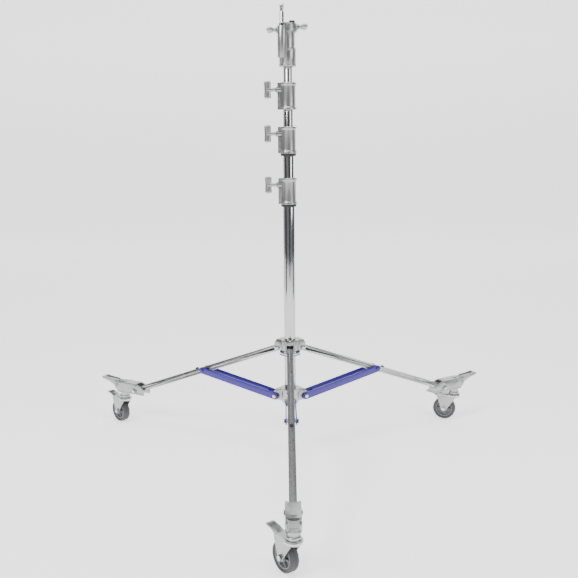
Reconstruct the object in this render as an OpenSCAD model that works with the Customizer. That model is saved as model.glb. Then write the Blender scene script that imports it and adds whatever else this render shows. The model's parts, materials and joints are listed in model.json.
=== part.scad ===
// Rolling telescopic lighting stand: folding braced tripod, three risers,
// clamp collars with T-handles, receiver head with a side stud, braked casters.
// Units are millimetres, Z is up, and the origin is on the column axis at floor level.

/* [Column] */
// Outside diameter of the fixed column tube
base_od = 44; // [43:0.5:44]
// Wall thickness of every column tube
tube_wall = 1.5; // [1.3:0.1:1.5]
// Height of the lower end of the column tube
base_bottom = 231; // [225:1:240]

/* [Collars] */
// Height of each clamp collar
collar_h = 98;
// Diameter of each collar barrel
collar_d = 56; // [54:1:58]
// Diameter of the rims at the collar ends
collar_rim_d = 63; // [60:1:66]

/* [Tripod] */
// Outside width of the square leg tube
leg_w = 25; // [24:0.5:25]
// Wall thickness of the leg tube
leg_wall = 2; // [1.5:0.5:3]
// Depth of each flat brace bar
brace_depth = 28; // [22:1:30]

/* [Casters] */
// Wheel diameter
wheel_d = 100;
// Wheel width
wheel_w = 32; // [28:1:32]
// Distance from swivel axis to wheel axle
trail = 41; // [38:1:44]

/* [Stud] */
// Diameter of the side stud
stud_d = 15.875;

/* [Hidden] */
$fn = 36;
riser1_od = base_od - 4;
riser2_od = base_od - 8;
riser3_od = base_od - 12;
z_c3 = 1027;
z_c2 = 1216;
z_c1 = 1375;
seat = 56;
screw_z = 72;
// pivot points in the plane of a leg: radius, height
ur = 50;  uz = 461.3;
pr = 790; pz = 167;
lr = 62;  lz = 259.6;
leg_a = atan2(uz - pz, pr - ur);
leg_l = norm([pr - ur, uz - pz]);
br_ = 415;
bz_ = uz - (br_ - ur) * tan(leg_a);
brace_a = atan2(bz_ - lz, br_ - lr);
brace_l = norm([br_ - lr, bz_ - lz]);
sw_r = 864;
az1 = -90; az2 = 30; az3 = 150;
// trailing direction of each caster
tr1 = 126; tr2 = 157; tr3 = 135;
hx = -20; hy = -38;

// Which piece to draw

// ---------- helpers ----------
module tube(od, id, h) { difference() { cylinder(d = od, h = h, $fn = 64); translate([0, 0, -1]) cylinder(d = id, h = h + 2, $fn = 64); } }
// extrude a radius-height profile to thickness t between y0 and y0+t
module slab(y0, t) { translate([0, y0 + t, 0]) rotate([90, 0, 0]) linear_extrude(t) children(); }
// pin along y, centred
module ypin(d, l) { rotate([90, 0, 0]) cylinder(d = d, h = l, center = true); }
module bar2d(l, w) { union() { translate([0, -w / 2]) square([l, w]); circle(d = w); translate([l, 0]) circle(d = w); } }

// ---------- column ----------
module base_tube() color([0.83, 0.84, 0.86]) translate([0, 0, base_bottom]) tube(base_od, base_od - 2 * tube_wall, z_c3 + seat - base_bottom);

module tube_plug() color([0.07, 0.07, 0.08]) {
  translate([0, 0, base_bottom - 4]) cylinder(d = base_od, h = 4);
  translate([0, 0, base_bottom]) cylinder(d = base_od - 2 * tube_wall - 0.04, h = 22);
}

module riser(od, z0, z1) color([0.83, 0.84, 0.86]) translate([0, 0, z0]) tube(od, od - 2 * tube_wall, z1 - z0);
// foot bush: a spigot inside the riser and a guide that runs in the tube around it
module bush(od, z0) color([0.1, 0.1, 0.11]) {
  translate([0, 0, z0 - 30]) tube(od + 4 - 2 * tube_wall - 0.08, od - 2 * tube_wall - 5, 30);
  translate([0, 0, z0]) tube(od - 2 * tube_wall - 0.04, od - 2 * tube_wall - 5, 22);
}
module riser_1() riser(riser1_od, 300, z_c2 + seat);
module riser_2() riser(riser2_od, 360, z_c1 + seat);
module riser_3() riser(riser3_od, 420, 1560);
module bush_1() bush(riser1_od, 300);
module bush_2() bush(riser2_od, 360);
module bush_3() bush(riser3_od, 420);

// clamp collar: seats on the end of the outer tube and guides the inner one
module collar(z0, od) color([0.72, 0.73, 0.75]) translate([0, 0, z0]) difference() {
  union() {
    cylinder(d = collar_d, h = collar_h, $fn = 64);
    cylinder(d = collar_rim_d, h = 9, $fn = 64);
    translate([0, 0, collar_h - 8]) cylinder(d = collar_rim_d, h = 8, $fn = 64);
    translate([-38, -11, 0]) cube([38, 22, collar_h]);
    translate([-39.5, 0, screw_z]) rotate([0, 90, 0]) cylinder(d = 20, h = 20);
  }
  translate([0, 0, -1]) cylinder(d = od + 0.04, h = seat + 1, $fn = 64);
  translate([0, 0, seat - 1]) cylinder(d = od - 4 + 0.12, h = collar_h, $fn = 64);
  translate([-45, 0, screw_z]) rotate([0, 90, 0]) cylinder(d = 10, h = 45);
}
module collar_1() collar(z_c1, riser2_od);
module collar_2() collar(z_c2, riser1_od);
module collar_3() collar(z_c3, base_od);
module ring(z0, od) color([0.06, 0.06, 0.07]) translate([0, 0, z0 - 9.5]) tube(58, od + 0.04, 9.4);
module ring_2() ring(z_c2, riser1_od);
module ring_3() ring(z_c3, base_od);

// T-handle with its clamp screw; drawn along -X, tip at radius r0
module thandle(r0, seat_r, bar_l, bar_h, out) color([0.74, 0.75, 0.77]) {
  translate([-seat_r - 2, 0, 0]) rotate([0, 90, 0]) cylinder(d = 9.9, h = seat_r + 2 - r0);
  translate([-out + 24, 0, 0]) rotate([0, -90, 0]) translate([0, 0, -(out - 24 - seat_r - 0.4)]) cylinder(d = 15, h = out - 24 - seat_r + 2);
  translate([-out, 0, 0]) rotate([0, 90, 0]) rotate([0, 0, 0]) linear_extrude(25)
    union() { square([bar_l - bar_h, bar_h], center = true); for (s = [-1, 1]) translate([s * (bar_l - bar_h) / 2, 0]) circle(d = bar_h, $fn = 24); }
}
module handle_3() translate([0, 0, z_c3 + screw_z]) thandle(riser1_od / 2 + 0.1, 39.5, 64, 15, 89.5);
module handle_2() translate([0, 0, z_c2 + screw_z]) thandle(riser2_od / 2 + 0.1, 39.5, 64, 15, 89.5);
module handle_1() translate([0, 0, z_c1 + screw_z]) thandle(riser3_od / 2 + 0.1, 39.5, 64, 15, 88);

// ---------- head ----------
module head() color([0.72, 0.73, 0.75]) difference() {
  union() {
    translate([0, 0, 1529]) cylinder(d = 61, h = 64, $fn = 64);
    translate([0, 0, 1592]) cylinder(d = 54, h = 89, $fn = 64);
    translate([0, 0, 1649]) cylinder(d = 70, h = 11, $fn = 64);
    translate([0, 0, 1659]) cylinder(d = 64, h = 22, $fn = 64);
    translate([hx, hy, 1558]) cylinder(d = 32, h = 110);
    translate([0, 0, 1562]) rotate([0, 0, atan2(hy, hx)]) translate([15, -12, 0]) cube([28, 24, 84]);
    translate([-36, 0, 1658]) rotate([0, 90, 0]) cylinder(d = 18, h = 20);
    translate([16, 0, 1668]) rotate([0, 90, 0]) cylinder(d = 18, h = 20);
  }
  translate([0, 0, 1528]) cylinder(d = riser3_od + 0.04, h = 32, $fn = 64);
  translate([0, 0, 1575]) cylinder(d = 28.6, h = 120, $fn = 64);
  translate([hx, hy, 1578]) cylinder(d = stud_d + 0.04, h = 100);
  translate([-40, 0, 1658]) rotate([0, 90, 0]) cylinder(d = 10, h = 40);
  translate([0, 0, 1668]) rotate([0, 90, 0]) cylinder(d = 10, h = 40);
}
module stud() color([0.85, 0.86, 0.88]) translate([hx, hy, 0]) difference() {
  union() {
    translate([0, 0, 1578]) cylinder(d = stud_d, h = 163);
    translate([0, 0, 1668.1]) cylinder(d = 20, h = 9, $fn = 6);
  }
  translate([0, 0, 1716]) difference() { cylinder(d = 20, h = 13); translate([0, 0, -1]) cylinder(d = 12.5, h = 15); }
}
module head_handle_1() translate([0, 0, 1658]) rotate([90, 0, 0]) thandle(14.3, 36, 58, 18, 76);
module head_handle_2() translate([0, 0, 1668]) rotate([0, 0, 180]) rotate([90, 0, 0]) thandle(14.3, 36, 58, 18, 74);

// ---------- hubs ----------
module stop_ring() color([0.85, 0.86, 0.88]) translate([0, 0, 441]) tube(78, base_od + 0.04, 7.4);
module blue_rings() color([0.22, 0.2, 0.68]) {
  translate([0, 0, 448.5]) tube(81, base_od + 0.04, 2.4);
  translate([0, 0, 438.5]) tube(81, base_od + 0.04, 2.4);
}
module upper_hub() color([0.72, 0.73, 0.75]) difference() {
  union() {
    translate([0, 0, 451.1]) cylinder(d = 66, h = 45.9, $fn = 64);
    for (a = [az1, az2, az3]) rotate([0, 0, a]) {
      for (y = [-17.8, 12.8]) slab(y, 5) polygon([[25, 452], [52, 452], [61, 458], [61, 480], [50, 497], [25, 497]]);
      translate([25, -17.8, 484]) cube([22, 35.6, 13]);
    }
  }
  translate([0, 0, 440]) cylinder(d = base_od + 0.12, h = 70, $fn = 64);
  for (a = [az1, az2, az3]) rotate([0, 0, a]) translate([ur, 0, uz]) ypin(10.02, 50);
  rotate([0, 0, az1]) translate([40, 0, 450]) cylinder(d = 6.1, h = 60, $fn = 24);
}
module upper_pins() color([0.8, 0.81, 0.83]) for (a = [az1, az2, az3]) rotate([0, 0, a]) translate([ur, 0, uz]) {
  ypin(10, 36);
  for (s = [-1, 1]) translate([0, s * 20.2, 0]) ypin(15, 4.6);
}
module release_pin() color([0.8, 0.81, 0.83]) rotate([0, 0, az1]) translate([40, 0, 0]) {
  translate([0, 0, 481]) cylinder(d = 6, h = 19, $fn = 24);
  translate([0, 0, 497.2]) cylinder(d = 11, h = 5, $fn = 24);
}
module lower_hub() color([0.72, 0.73, 0.75]) difference() {
  union() {
    translate([0, 0, 244]) cylinder(d = 66, h = 57, $fn = 64);
    translate([0, 0, 294]) cylinder(d = 80, h = 7, $fn = 64);
    for (a = [az1, az2, az3]) rotate([0, 0, a]) slab(-15, 30) polygon([[25, 246], [68, 246], [75, 253], [75, 270], [60, 290], [25, 294]]);
  }
  translate([0, 0, 230]) cylinder(d = base_od + 0.04, h = 90, $fn = 64);
  for (a = [az1, az2, az3]) rotate([0, 0, a]) translate([lr, 0, lz]) ypin(10.02, 50);
}
module lower_pins() color([0.8, 0.81, 0.83]) for (a = [az1, az2, az3]) rotate([0, 0, a]) translate([lr, 0, lz]) {
  ypin(10, 42);
  for (s = [-1, 1]) translate([0, s * 22.8, 0]) ypin(15, 4);
}

// ---------- legs and braces ----------
module leg(a) color([0.76, 0.77, 0.79]) rotate([0, 0, a]) translate([ur, 0, uz]) rotate([0, leg_a, 0]) difference() {
  slab(-leg_w / 2, leg_w) bar2d(leg_l, leg_w);
  translate([-30, -leg_w / 2 + leg_wall, -leg_w / 2 + leg_wall]) cube([leg_l + 60, leg_w - 2 * leg_wall, leg_w - 2 * leg_wall]);
  ypin(10.1, 40);
  translate([leg_l, 0, 0]) ypin(10.1, 40);
  translate([(br_ - ur) / cos(leg_a), 0, 0]) ypin(8.04, 40);
}
module leg_1() leg(az1);
module leg_2() leg(az2);
module leg_3() leg(az3);
module leg_bolt(a) color([0.8, 0.81, 0.83]) rotate([0, 0, a]) translate([br_, 0, bz_]) {
  ypin(8, 31);
  for (s = [-1, 1]) translate([0, s * 14.2, 0]) ypin(17, 2.9);
}
module leg_bolt_1() leg_bolt(az1);
module leg_bolt_2() leg_bolt(az2);
module leg_bolt_3() leg_bolt(az3);

module brace(a) color([0.24, 0.22, 0.66]) rotate([0, 0, a]) translate([lr, 0, lz]) rotate([0, -brace_a, 0]) {
  for (y = [-20.5, 16]) difference() {
    slab(y, 4.5) bar2d(brace_l, brace_depth);
    ypin(10.1, 60);
  }
  translate([48, 0, 0]) ypin(12, 33);
  for (s = [-1, 1]) translate([brace_l, s * 23, 0]) rotate([90, 0, 0]) cylinder(d = 16, h = 5.4, center = true, $fn = 6);
}
module brace_1() brace(az1);
module brace_2() brace(az2);
module brace_3() brace(az3);

// ---------- caster bracket and lever ----------
module bracket(a) color([0.72, 0.73, 0.75]) rotate([0, 0, a]) difference() {
  union() {
    for (y = [-23, 17]) slab(y, 6) polygon([[737, 153], [737, 178], [765, 194], [784, 199], [900, 197], [905, 190], [905, 174], [884, 150]]);
    slab(-23, 46) polygon([[784, 193.5], [784, 199], [884, 199], [884, 193.5]]);
    translate([sw_r, 0, 124.5]) cylinder(d = 38, h = 72);
    slab(-23, 46) polygon([[826, 150], [884, 150], [876, 162], [832, 162]]);
  }
  translate([pr, 0, pz]) ypin(10.02, 60);
  translate([893, 0, 183]) ypin(8.1, 60);
  translate([sw_r, 0, 100]) cylinder(d = 14.1, h = 80);
}
module bracket_1() bracket(az1);
module bracket_2() bracket(az2);
module bracket_3() bracket(az3);
module bracket_pin(a) color([0.8, 0.81, 0.83]) rotate([0, 0, a]) translate([pr, 0, pz]) {
  ypin(10, 46);
  for (s = [-1, 1]) { translate([0, s * 14.9, 0]) ypin(18, 4); translate([0, s * 26.1, 0]) rotate([90, 0, 0]) cylinder(d = 17, h = 6, center = true, $fn = 6); }
}
module bracket_pin_1() bracket_pin(az1);
module bracket_pin_2() bracket_pin(az2);
module bracket_pin_3() bracket_pin(az3);
module lever(a) color([0.72, 0.73, 0.75]) rotate([0, 0, a]) union() {
  slab(-16.5, 33) polygon([[888, 174], [888, 190], [900, 198], [940, 201], [978, 207], [984, 205], [984, 200], [942, 190], [904, 172]]);
  translate([893, 0, 183]) ypin(8, 46);
}
module lever_1() lever(az1);
module lever_2() lever(az2);
module lever_3() lever(az3);

// ---------- casters ----------
module at_caster(a, t) rotate([0, 0, a]) translate([sw_r, 0, 0]) rotate([0, 0, t - a]) children();
module fork(a, t) color([0.7, 0.71, 0.73]) at_caster(a, t) difference() {
  union() {
    translate([0, 0, 116]) linear_extrude(7.5) union() { circle(d = 54); translate([0, -21.5]) square([54, 43]); translate([0, -21.5]) square([20, 43]); }
    for (y = [-21.5, 17.5]) slab(y, 4) polygon([[-14, 118], [-10, 104], [trail - 9, 42], [trail + 9, 42], [70, 103], [69, 118]]);
    translate([0, 0, 120]) cylinder(d = 14, h = 58);
  }
  translate([trail, 0, wheel_d / 2]) ypin(12.02, 60);
  translate([63, 0, 109]) ypin(6.1, 60);
}
module fork_1() fork(az1, tr1);
module fork_2() fork(az2, tr2);
module fork_3() fork(az3, tr3);
module axle(a, t) color([0.8, 0.81, 0.83]) at_caster(a, t) translate([trail, 0, wheel_d / 2]) {
  ypin(12, 43);
  for (s = [-1, 1]) translate([0, s * 24, 0]) rotate([90, 0, 0]) cylinder(d = 19, h = 4.9, center = true, $fn = 6);
}
module axle_1() axle(az1, tr1);
module axle_2() axle(az2, tr2);
module axle_3() axle(az3, tr3);
module pedal(a, t) color([0.74, 0.75, 0.77]) at_caster(a, t) {
  slab(-15, 30) polygon([[58, 105], [58, 113], [66, 115], [86, 123], [122, 127], [122, 122], [90, 117], [72, 104]]);
  translate([63, 0, 109]) ypin(6, 42);
}
module pedal_1() pedal(az1, tr1);
module pedal_2() pedal(az2, tr2);
module pedal_3() pedal(az3, tr3);
module at_wheel(a, t) at_caster(a, t) translate([trail, 0, wheel_d / 2]) rotate([90, 0, 0]) children();
module tyre(a, t) color([0.42, 0.42, 0.43]) at_wheel(a, t) rotate_extrude($fn = 64)
  polygon([[38, -12], [44, -wheel_w / 2], [wheel_d / 2 - 3, -wheel_w / 2 + 3], [wheel_d / 2, -7], [wheel_d / 2, 7], [wheel_d / 2 - 3, wheel_w / 2 - 3], [44, wheel_w / 2], [38, 12]]);
module tyre_1() tyre(az1, tr1);
module tyre_2() tyre(az2, tr2);
module tyre_3() tyre(az3, tr3);
module wheel(a, t) color([0.6, 0.6, 0.61]) at_wheel(a, t) rotate_extrude($fn = 64)
  polygon([[6.05, -16], [16, -16], [16, -5], [31, -5], [31, -12], [37.98, -12], [37.98, 12], [31, 12], [31, 5], [16, 5], [16, 16], [6.05, 16]]);
module wheel_1() wheel(az1, tr1);
module wheel_2() wheel(az2, tr2);
module wheel_3() wheel(az3, tr3);

// ---------- draw ----------
base_tube();
tube_plug();
lower_hub();
lower_pins();
stop_ring();
blue_rings();
collar_3();
ring_3();
upper_hub();
upper_pins();
release_pin();
riser_1();
bush_1();
collar_2();
ring_2();
riser_2();
bush_2();
collar_1();
riser_3();
bush_3();
head();
stud();
handle_1();
handle_2();
handle_3();
head_handle_1();
head_handle_2();
leg_1();
leg_2();
leg_3();
leg_bolt_1();
leg_bolt_2();
leg_bolt_3();
brace_1();
brace_2();
brace_3();
bracket_1();
bracket_2();
bracket_3();
bracket_pin_1();
bracket_pin_2();
bracket_pin_3();
lever_1();
lever_2();
lever_3();
fork_1();
fork_2();
fork_3();
axle_1();
axle_2();
axle_3();
pedal_1();
pedal_2();
pedal_3();
tyre_1();
tyre_2();
tyre_3();
wheel_1();
wheel_2();
wheel_3();
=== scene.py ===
import math, json
import bpy, bmesh
from mathutils import Matrix, Vector


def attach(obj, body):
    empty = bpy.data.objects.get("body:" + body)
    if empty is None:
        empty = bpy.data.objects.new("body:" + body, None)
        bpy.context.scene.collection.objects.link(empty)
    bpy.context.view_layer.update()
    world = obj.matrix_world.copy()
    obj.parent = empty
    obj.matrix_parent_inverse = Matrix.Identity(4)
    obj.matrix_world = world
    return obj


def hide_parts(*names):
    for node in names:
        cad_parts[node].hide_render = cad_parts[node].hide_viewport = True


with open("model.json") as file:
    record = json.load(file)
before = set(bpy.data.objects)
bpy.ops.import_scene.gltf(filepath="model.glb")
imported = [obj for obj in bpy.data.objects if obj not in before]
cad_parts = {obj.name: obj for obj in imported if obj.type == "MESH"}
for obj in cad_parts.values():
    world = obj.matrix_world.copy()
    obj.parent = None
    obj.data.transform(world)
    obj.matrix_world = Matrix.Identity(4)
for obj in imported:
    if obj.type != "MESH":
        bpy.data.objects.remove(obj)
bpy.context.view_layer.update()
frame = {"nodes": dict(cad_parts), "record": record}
NODES = frame["nodes"]

# ------------------------------------------------------------------ materials
def material(name, color, metallic=0.0, rough=0.4, coat=0.0, bump=0.0, scale=400.0, rough_var=0.0):
    m = bpy.data.materials.new(name)
    m.use_nodes = True
    nt = m.node_tree
    b = nt.nodes["Principled BSDF"]
    b.inputs["Base Color"].default_value = (*color, 1)
    b.inputs["Metallic"].default_value = metallic
    b.inputs["Roughness"].default_value = rough
    if coat:
        b.inputs["Coat Weight"].default_value = coat
        b.inputs["Coat Roughness"].default_value = 0.08
    if bump or rough_var:
        tc = nt.nodes.new("ShaderNodeTexCoord")
        n = nt.nodes.new("ShaderNodeTexNoise")
        n.inputs["Scale"].default_value = scale
        n.inputs["Detail"].default_value = 3.0
        nt.links.new(tc.outputs["Object"], n.inputs["Vector"])
        if bump:
            bp = nt.nodes.new("ShaderNodeBump")
            bp.inputs["Strength"].default_value = bump
            bp.inputs["Distance"].default_value = 0.0004
            nt.links.new(n.outputs["Fac"], bp.inputs["Height"])
            nt.links.new(bp.outputs["Normal"], b.inputs["Normal"])
        if rough_var:
            mr = nt.nodes.new("ShaderNodeMapRange")
            mr.inputs["To Min"].default_value = max(0.02, rough - rough_var)
            mr.inputs["To Max"].default_value = rough + rough_var
            nt.links.new(n.outputs["Fac"], mr.inputs["Value"])
            nt.links.new(mr.outputs["Result"], b.inputs["Roughness"])
    return m

M = {
    "chrome": material("chrome", (0.50, 0.505, 0.52), 1.0, 0.12),
    "steel": material("steel", (0.58, 0.585, 0.60), 1.0, 0.14),
    "cast": material("cast", (0.40, 0.402, 0.405), 0.95, 0.33, bump=0.25, scale=900, rough_var=0.05),
    "leg": material("leg", (0.46, 0.463, 0.47), 1.0, 0.28, rough_var=0.03, scale=60),
    "bolt": material("bolt", (0.55, 0.555, 0.56), 1.0, 0.24),
    "blue": material("blue", (0.034, 0.016, 0.25), 0.1, 0.34, coat=0.25),
    "black": material("black", (0.015, 0.015, 0.017), 0.0, 0.5),
    "tyre": material("tyre", (0.065, 0.065, 0.068), 0.0, 0.6, bump=0.3, scale=700),
    "wheel": material("wheel", (0.17, 0.17, 0.175), 0.0, 0.45),
}
SLOT = {s["node"]: s["material_slot"] for s in frame["record"]["subparts"]}

def finish_mesh(o, width=0.0006, angle=34):
    for p in o.data.polygons:
        p.use_smooth = True
    w = o.modifiers.new("weld", "WELD"); w.merge_threshold = 0.00002
    b = o.modifiers.new("bevel", "BEVEL")
    b.width = width; b.segments = 2; b.limit_method = "ANGLE"; b.angle_limit = math.radians(angle)
    b.harden_normals = True; b.use_clamp_overlap = True

BEVEL = {"upper_hub": 0.0018, "lower_hub": 0.0018, "head": 0.0012, "collar_1": 0.0014, "collar_2": 0.0014, "collar_3": 0.0014,
         "leg_1": 0.0016, "leg_2": 0.0016, "leg_3": 0.0016}
for name, o in NODES.items():
    o.data.materials.clear()
    o.data.materials.append(M[SLOT[name]])
    w = BEVEL.get(name, 0.0006)
    if name.startswith(("bracket_1", "bracket_2", "bracket_3", "fork", "lever", "pedal")):
        w = 0.0012
    finish_mesh(o, w)

# ------------------------------------------------------------------ helpers
def mm(v):
    return Vector(v) / 1000.0

def new_obj(name, verts, faces, mat, body, replaces=(), width=0.0, mtx=None):
    me = bpy.data.meshes.new(name)
    me.from_pydata([tuple(v) for v in verts], [], faces)
    if mtx is not None:
        me.transform(mtx)
    bm = bmesh.new(); bm.from_mesh(me)
    bmesh.ops.remove_doubles(bm, verts=bm.verts, dist=1e-6)
    bmesh.ops.recalc_face_normals(bm, faces=bm.faces)
    bm.to_mesh(me); bm.free()
    me.update()
    o = bpy.data.objects.new(name, me)
    bpy.context.scene.collection.objects.link(o)
    o.data.materials.append(M[mat])
    for p in me.polygons:
        p.use_smooth = True
    b = o.modifiers.new("bevel", "BEVEL")
    b.width = width or 0.0004; b.segments = 3; b.limit_method = "ANGLE"; b.angle_limit = math.radians(34)
    b.harden_normals = True
    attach(o, body)
    if replaces:
        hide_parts(*replaces)
    return o

def lathe(profile, segs=64, mod=None):
    """Closed (radius, height) profile in mm turned about Z; a radius of 0 closes the solid."""
    verts, faces, rows = [], [], []
    for i, (r, z) in enumerate(profile):
        if r <= 1e-6:
            rows.append([len(verts)]); verts.append(mm((0, 0, z)))
        else:
            row = []
            for k in range(segs):
                a = 2 * math.pi * k / segs
                rr = r if mod is None else mod(i, r, a)
                row.append(len(verts)); verts.append(mm((rr * math.cos(a), rr * math.sin(a), z)))
            rows.append(row)
    n = len(rows)
    for i in range(n):
        A, B = rows[i], rows[(i + 1) % n]
        if len(A) == 1 and len(B) == 1:
            continue
        for k in range(segs):
            k2 = (k + 1) % segs
            if len(A) == 1:
                faces.append((A[0], B[k2], B[k]))
            elif len(B) == 1:
                faces.append((A[k], A[k2], B[0]))
            else:
                faces.append((A[k], A[k2], B[k2], B[k]))
    return verts, faces

def prism(poly, y0, y1):
    """Polygon of (x, z) in mm extruded along Y."""
    n = len(poly)
    verts = [mm((x, y0, z)) for x, z in poly] + [mm((x, y1, z)) for x, z in poly]
    faces = [tuple(range(n)), tuple(reversed(range(n, 2 * n)))]
    faces += [(i, (i + 1) % n, n + (i + 1) % n, n + i) for i in range(n)]
    return verts, faces

def join(*parts):
    V, F = [], []
    for v, f in parts:
        k = len(V)
        V += list(v); F += [tuple(i + k for i in t) for t in f]
    return V, F

def moved(part, mtx):
    return [mtx @ v for v in part[0]], part[1]

def rot(deg, ax):
    return Matrix.Rotation(math.radians(deg), 4, ax)

def tr(x, y, z):
    return Matrix.Translation(mm((x, y, z)))

AZ = {1: -90, 2: 30, 3: 150}
TR = {1: 126, 2: 157, 3: 135}

# ------------------------------------------------------------------ camera, light, stage
def setup_stage():
    f_px, D, H, pitch, cx, roll, yaw = 777.389, 2.9552, 1.2716, 10.9767, -0.002, -0.4851, 0.3586
    cam_d = bpy.data.cameras.new("cam")
    cam_d.sensor_width = 36.0
    cam_d.lens = f_px / 578.0 * 36.0
    cam = bpy.data.objects.new("cam", cam_d)
    bpy.context.scene.collection.objects.link(cam)
    cam.matrix_world = (Matrix.Rotation(math.radians(-yaw), 4, "Z") @ Matrix.Translation((cx, -D, H))
                        @ Matrix.Rotation(math.radians(90 - pitch), 4, "X") @ Matrix.Rotation(math.radians(roll), 4, "Z"))
    bpy.context.scene.camera = cam

    # seamless floor and wall
    prof = [(-14, 0.0), (6.0, 0.0)]
    for k in range(1, 13):
        a = math.pi / 2 * k / 12
        prof.append((6.0 + 2.5 * math.sin(a), 2.5 - 2.5 * math.cos(a)))
    prof.append((8.5, 9.0))
    verts, faces = [], []
    for y, z in prof:
        verts += [(-14, y, z - 0.0004), (14, y, z - 0.0004)]
    for i in range(len(prof) - 1):
        faces.append((2 * i, 2 * i + 1, 2 * i + 3, 2 * i + 2))
    me = bpy.data.meshes.new("floor"); me.from_pydata(verts, [], faces); me.update()
    for p in me.polygons:
        p.use_smooth = True
    floor = bpy.data.objects.new("floor", me)
    bpy.context.scene.collection.objects.link(floor)
    fm = material("floor", (0.95, 0.95, 0.95), 0.0, 0.75)
    fb = fm.node_tree.nodes["Principled BSDF"]
    fb.inputs["Emission Color"].default_value = (1, 1, 1, 1)
    fb.inputs["Emission Strength"].default_value = 1.3
    fb.inputs["Specular IOR Level"].default_value = 0.1
    floor.data.materials.append(fm)

    # dark cards outside the picture give the polished tubes their dark bands
    card = material("card", (0.02, 0.02, 0.022), 0.0, 0.9)
    for i, (x, y, w, h) in enumerate(((-2.6, -0.9, 0.75, 3.2), (2.6, -0.4, 0.85, 3.2), (0.5, -5.2, 1.1, 3.6), (-2.2, 2.6, 0.5, 3.0))):
        me = bpy.data.meshes.new("card"); me.from_pydata([(-w, 0, 0.05), (w, 0, 0.05), (w, 0, h), (-w, 0, h)], [], [(0, 1, 2, 3)]); me.update()
        c = bpy.data.objects.new("card_%d" % i, me)
        bpy.context.scene.collection.objects.link(c)
        c.data.materials.append(card)
        c.location = (x, y, 0)
        c.rotation_euler = (0, 0, math.atan2(-y, -x) + math.pi / 2)
        c.visible_camera = False
        c.visible_shadow = False
        c.visible_diffuse = False

    # a dark overhead panel for the sloping legs and castings to reflect
    me = bpy.data.meshes.new("panel"); me.from_pydata([(-1.6, -1.3, 0), (1.6, -1.3, 0), (1.6, 1.3, 0), (-1.6, 1.3, 0)], [], [(0, 1, 2, 3)]); me.update()
    c = bpy.data.objects.new("panel", me)
    bpy.context.scene.collection.objects.link(c)
    c.data.materials.append(card)
    c.location = (0, 2.6, 3.9)
    c.rotation_euler = (math.radians(36), 0, 0)
    c.visible_camera = False
    c.visible_shadow = False
    c.visible_diffuse = False

    def area(name, loc, target, size, power):
        d = bpy.data.lights.new(name, "AREA"); d.energy = power; d.shape = "RECTANGLE"; d.size, d.size_y = size
        o = bpy.data.objects.new(name, d)
        bpy.context.scene.collection.objects.link(o)
        o.location = loc
        o.rotation_euler = (Vector(target) - Vector(loc)).to_track_quat("-Z", "Y").to_euler()
    area("key", (-2.6, -2.6, 3.6), (0, 0, 0.7), (1.4, 1.4), 120)
    area("fill", (3.2, -2.2, 2.6), (0, 0, 0.7), (1.8, 1.8), 60)
    area("top", (0, -0.9, 4.6), (0, 0, 0.5), (2.6, 1.8), 90)

    w = bpy.data.worlds.new("world"); bpy.context.scene.world = w
    w.use_nodes = True
    bg = w.node_tree.nodes["Background"]
    bg.inputs["Color"].default_value = (0.94, 0.95, 0.97, 1)
    bg.inputs["Strength"].default_value = 0.3

setup_stage()

# ------------------------------------------------------------------ T-handles
def thandle(name, node, body, place, seat, out, r0, length, depth, thick):
    """Bar along local Z, screw pointing to +X (towards the column), in mm."""
    half, cap = length / 2, thick / 2
    prof = [(0.0, -half)]
    n = 10
    for k in range(1, n + 1):
        t = math.pi / 2 * k / n
        prof.append((cap * math.sin(t), -half + cap * 0.8 * (1 - math.cos(t))))
    for k in range(1, 12):
        u = k / 12.0
        z = -half + cap * 0.8 + (length - cap * 1.6) * u
        prof.append((cap * (1.0 - 0.10 * math.sin(math.pi * u)), z))
    prof += [(r, -z) for r, z in reversed(prof[:n + 1])]
    v, f = lathe(prof, 40)
    v = [Vector((p.x * depth / thick, p.y, p.z)) for p in v]
    barp = moved((v, f), tr(-out + depth / 2, 0, 0))
    L = out - depth * 0.55 - seat
    stem = [(0, 0), (10.5, 0), (11.5, 1.2), (11.5, 3.2), (9.5, 4.2), (7.2, 6.5), (6.2, L * 0.5), (6.6, L * 0.75), (9.0, L + 1.0), (9.0, L + 4), (0, L + 4)]
    stemp = moved(lathe(stem, 40), tr(-seat - 0.4, 0, 0) @ rot(-90, "Y"))
    screw = [(0, 0), (3.4, 0), (4.9, 1.5)]
    z = 3.0
    while z < seat - r0 - 2:
        screw += [(4.3, z), (4.9, z + 0.75)]
        z += 1.5
    screw += [(4.9, seat - r0 + 1.5), (0, seat - r0 + 1.5)]
    screwp = moved(lathe(screw, 28), tr(-r0, 0, 0) @ rot(-90, "Y"))
    v, f = join(barp, stemp, screwp)
    return new_obj(name, v, f, "cast", body, (node,), 0.0005, place)

thandle("t_handle_3", "handle_3", "knob_3", tr(0, 0, 1099), 39.5, 89.5, 20.1, 64, 26, 16)
thandle("t_handle_2", "handle_2", "knob_2", tr(0, 0, 1288), 39.5, 89.5, 18.1, 64, 26, 16)
thandle("t_handle_1", "handle_1", "knob_1", tr(0, 0, 1447), 39.5, 88, 16.1, 64, 26, 16)
thandle("head_t_handle_1", "head_handle_1", "head_knob_1", tr(0, 0, 1658) @ rot(90, "X"), 36, 76, 14.4, 58, 26, 18)
thandle("head_t_handle_2", "head_handle_2", "head_knob_2", tr(0, 0, 1668) @ rot(180, "Z") @ rot(90, "X"), 36, 74, 14.4, 58, 26, 18)

# ------------------------------------------------------------------ casters
def at_caster(n):
    a, t = AZ[n], TR[n]
    return rot(a, "Z") @ tr(864, 0, 0) @ rot(t - a, "Z")

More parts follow.
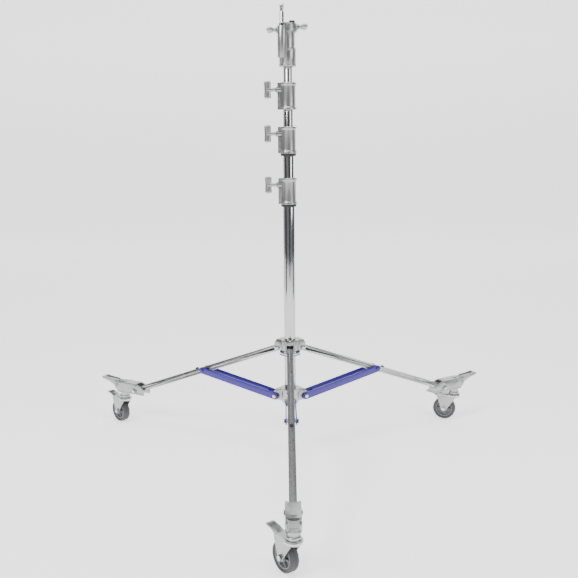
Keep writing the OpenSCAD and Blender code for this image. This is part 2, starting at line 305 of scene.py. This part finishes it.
for n in (1, 2, 3):
    wheel_m = at_caster(n) @ tr(41, 0, 50) @ rot(90, "X")
    prof = [(38.05, -11.9), (40.5, -13.6), (43.5, -15.4), (45.5, -15.9)]
    for k in range(0, 9):
        t = math.pi / 2 * k / 8
        prof.append((45.2 + 4.8 * math.sin(t), -15.9 + 8.0 * (1 - math.cos(t))))
    prof += [(50.0, -3.0), (49.3, -2.4), (49.3, -1.6), (50.0, -1.0)]
    prof += [(r, -z) for r, z in reversed(prof)]
    v, f = lathe(prof, 96)
    new_obj("tyre_tread_%d" % n, v, f, "tyre", "wheel_%d" % n, ("tyre_%d" % n,), 0.0003, wheel_m)
    hub = [(6.1, -15.9), (9.5, -15.9), (10.2, -15.2), (14.5, -15.2), (15.6, -14.2), (16.0, -7.0), (18.0, -5.6), (30.0, -4.2), (32.0, -6.5), (33.0, -11.5), (34.2, -12.4),
           (37.0, -12.4), (37.95, -11.6)]
    hub += [(r, -z) for r, z in reversed(hub)]
    parts = [lathe(hub, 72)]
    for k in range(6):
        for s in (-1, 1):
            y0, y1 = (4.0, 12.5) if s > 0 else (-12.5, -4.0)
            rib = prism([(15.2, -1.4), (33.0, -1.1), (33.0, 1.1), (15.2, 1.4)], y0, y1)
            parts.append(moved(rib, rot(60 * k, "Z") @ rot(90, "X")))
    v, f = join(*parts)
    new_obj("wheel_centre_%d" % n, v, f, "wheel", "wheel_%d" % n, ("wheel_%d" % n,), 0.0004, wheel_m)

    # swivel raceway, dust cap and king nut
    race = [(8, 104.5), (16, 104.5), (24, 107.5), (28.5, 111.5), (29.0, 114.0), (29.0, 120.0), (28.0, 121.6), (25.0, 122.2), (25.0, 124.1), (8, 124.1)]
    v, f = lathe(race, 64)
    new_obj("raceway_%d" % n, v, f, "bolt", "fork_%d" % n, (), 0.0004, at_caster(n))
    # brake shoe and spring plate below the pedal
    v, f = join(prism([(56, 101.5), (58, 105.2), (72, 104.2), (79, 108.5), (80, 106.4), (73, 101.6)], -12, 12),
                prism([(98, 124.6), (99.4, 126.6), (100.8, 124.8)], -13, 13), prism([(104, 125.0), (105.4, 127.2), (106.8, 125.4)], -13, 13),
                prism([(110, 125.6), (111.4, 127.8), (112.8, 126.0)], -13, 13))
    new_obj("pedal_detail_%d" % n, v, f, "cast", "pedal_%d" % n, (), 0.0003, at_caster(n))

    leg_m = rot(AZ[n], "Z")
    # rubber bumper on the leg
    la = math.atan2(461.3 - 167, 740)
    s = 430.0
    v, f = lathe([(0, 0), (7.5, 0), (7.5, 2.2), (6.2, 4.6), (3.8, 6.0), (0, 6.4)], 32)
    new_obj("bumper_%d" % n, v, f, "black", "leg_%d" % n, (), 0.0003,
            leg_m @ tr(50, 0, 461.3) @ rot(math.degrees(la), "Y") @ tr(s, 0, 12.4))
    # geometry for black end plugs in the open leg ends; it is built here but not added to the scene
    v, f = join(prism([(-6.5, -10.4), (3.0, -10.4), (3.0, 10.4), (-6.5, 10.4)], -10.4, -5.4), prism([(-6.5, -10.4), (3.0, -10.4), (3.0, 10.4), (-6.5, 10.4)], 5.4, 10.4))
    # lever: a cast pedal with a raised rim and grip ridges
    lev = prism([(888.2, 175), (888.2, 189), (895, 196), (905, 199.2), (940, 201.2), (970, 205.2), (980, 207.6), (984.2, 206.6), (984.6, 202.2), (975, 198.2), (944, 190.5), (918, 179.5), (905, 173), (896, 171.5)], -16.4, 16.4)
    parts = [lev]
    for y in (-16.4, 12.4):
        parts.append(prism([(900, 197), (906, 203), (940, 205), (970, 208.6), (980, 209.6), (982, 206), (940, 199)], y, y + 4))
    for k in range(5):
        x = 952 + 5.2 * k
        z = 202.4 + 0.62 * k
        parts.append(prism([(x, z - 1.2), (x + 1.3, z + 1.9), (x + 2.6, z - 0.8)], -12.4, 12.4))
    v, f = join(*parts)
    new_obj("lever_pad_%d" % n, v, f, "cast", "lever_%d" % n, (), 0.0006, leg_m)
    # cast ribs and a raised boss on the bracket cheeks
    parts = []
    for sgn in (-1, 1):
        ring = lathe([(9.6, 0), (13.5, 0), (13.5, 1.6), (12.6, 2.2), (9.6, 2.2)], 40)
        parts.append(moved(ring, tr(790, sgn * 23, 167) @ rot(-90 * sgn, "X")))
        ring = lathe([(4.4, 0), (7.4, 0), (7.4, 1.4), (6.6, 2.0), (4.4, 2.0)], 32)
        parts.append(moved(ring, tr(893, sgn * 23, 183) @ rot(-90 * sgn, "X")))
        y0, y1 = (22.5, 24.6) if sgn > 0 else (-24.6, -22.5)
        parts.append(prism([(742, 155.5), (742, 159), (826, 156.5), (882, 153.6), (880, 151)], y0, y1))
        parts.append(prism([(742, 176), (767, 192), (785, 197), (785, 193.5), (768, 188), (743, 172)], y0, y1))
        parts.append(prism([(785, 193.5), (785, 197), (896, 195.4), (896, 192)], y0, y1))
    parts.append(moved(lathe([(0, 196), (12, 196), (12, 199.4), (10.5, 202.0), (0, 202.0)], 6), tr(864, 0, 0.3)))
    parts.append(moved(lathe([(19.0, 124.8), (22.5, 124.8), (22.5, 132), (21.0, 134), (19.0, 135)], 64), tr(864, 0, 0)))
    v, f = join(*parts)
    new_obj("bracket_detail_%d" % n, v, f, "cast", "bracket_%d" % n, (), 0.0004, leg_m)

# ------------------------------------------------------------------ collars
def collar(name, node, body, z0, od):
    ro, ri = od / 2 + 0.02, od / 2 - 2 + 0.06
    prof = [(ro, 0.0), (30.2, 0.0), (31.5, 1.4), (31.5, 6.6), (30.4, 8.6), (28.6, 10.6), (28.0, 13.5), (28.0, 84.5), (28.6, 87.4), (30.6, 89.6), (31.5, 91.4), (31.5, 95.4), (30.0, 97.6),
            (26.5, 98.0), (ri + 2.6, 98.0), (ri, 96.4), (ri, 56.0), (ro, 56.0)]
    parts = [moved(lathe(prof, 96), tr(0, 0, z0))]
    # clamp boss with rounded shoulders, in two cheeks either side of the screw
    boss = [(-24, -11.5), (-36, -11.5), (-38.4, -9.4), (-38.9, -6.0), (-38.9, 6.0), (-38.4, 9.4), (-36, 11.5), (-24, 11.5)]
    n = len(boss)
    for za, zb in ((0.6, 62.0), (82.0, 97.4)):
        v = [mm((x, y, z0 + za)) for x, y in boss] + [mm((x, y, z0 + zb)) for x, y in boss]
        parts.append((v, [tuple(range(n)), tuple(reversed(range(n, 2 * n)))] + [(i, (i + 1) % n, n + (i + 1) % n, n + i) for i in range(n)]))
    parts.append(moved(lathe([(5.0, 0), (10.4, 0), (11.4, 1.2), (11.4, 14), (5.0, 14)], 40), tr(-39.4, 0, z0 + 72) @ rot(90, "Y")))
    # two cap screws at the foot of the boss
    for z in (18, 40):
        for sgn in (-1, 1):
            parts.append(moved(lathe([(0, 0), (4.4, 0), (4.4, 2.6), (3.8, 3.2), (2.2, 3.2), (2.2, 1.0), (0, 1.0)], 24), tr(-32, sgn * 11.4, z0 + z) @ rot(-90 * sgn, "X")))
    v, f = join(*parts)
    new_obj(name, v, f, "cast", body, (node,), 0.0005)

collar("clamp_collar_3", "collar_3", "stand", 1027, 44)
collar("clamp_collar_2", "collar_2", "riser_1", 1216, 40)
collar("clamp_collar_1", "collar_1", "riser_2", 1375, 36)

# ------------------------------------------------------------------ head and hubs
v, f = join(lathe([(30.4, 1531), (31.4, 1532.5), (31.4, 1537), (30.4, 1538.5)], 72), lathe([(30.4, 1584), (31.4, 1585.5), (31.4, 1590), (30.4, 1591.5)], 72),
            lathe([(14.35, 1679.4), (16.2, 1681.2), (31.0, 1681.2), (32.4, 1679.6), (32.4, 1676), (31.9, 1675), (31.9, 1680), (16.2, 1680)], 72))
new_obj("head_rings", v, f, "cast", "riser_3", (), 0.0003)
v, f = prism([(6, 1681.0), (27, 1681.0), (27, 1686.5), (24, 1688.5), (8, 1688.5), (6, 1687)], -24, -18)
new_obj("head_catch", v, f, "black", "riser_3", (), 0.0006)
parts = []
for n in (1, 2, 3):
    for sgn in (-1, 1):
        ring = lathe([(7.8, 0), (11.6, 0), (11.6, 1.0), (10.8, 1.6), (7.8, 1.6)], 36)
        parts.append(moved(ring, rot(AZ[n], "Z") @ tr(50, sgn * 17.8, 461.3) @ rot(-90 * sgn, "X")))
parts.append(lathe([(32.8, 489), (34.6, 490), (34.6, 495.4), (33.4, 497.2), (24.4, 497.2), (24.4, 496.6), (32.8, 495.6)], 72))
v, f = join(*parts)
new_obj("upper_hub_rings", v, f, "cast", "hub", (), 0.0003)
v, f = lathe([(0, 496.9), (4.0, 496.9), (5.6, 498.2), (5.9, 500.0), (5.0, 501.8), (2.6, 502.8), (0, 503.0)], 32)
v, f = join((v, f), lathe([(0, 481), (2.4, 481), (3.0, 481.8), (3.0, 497.5), (0, 497.5)], 28))
new_obj("lift_pin", v, f, "bolt", "hub_pin", ("release_pin",), 0.0002, rot(-90, "Z") @ tr(40, 0, 0))
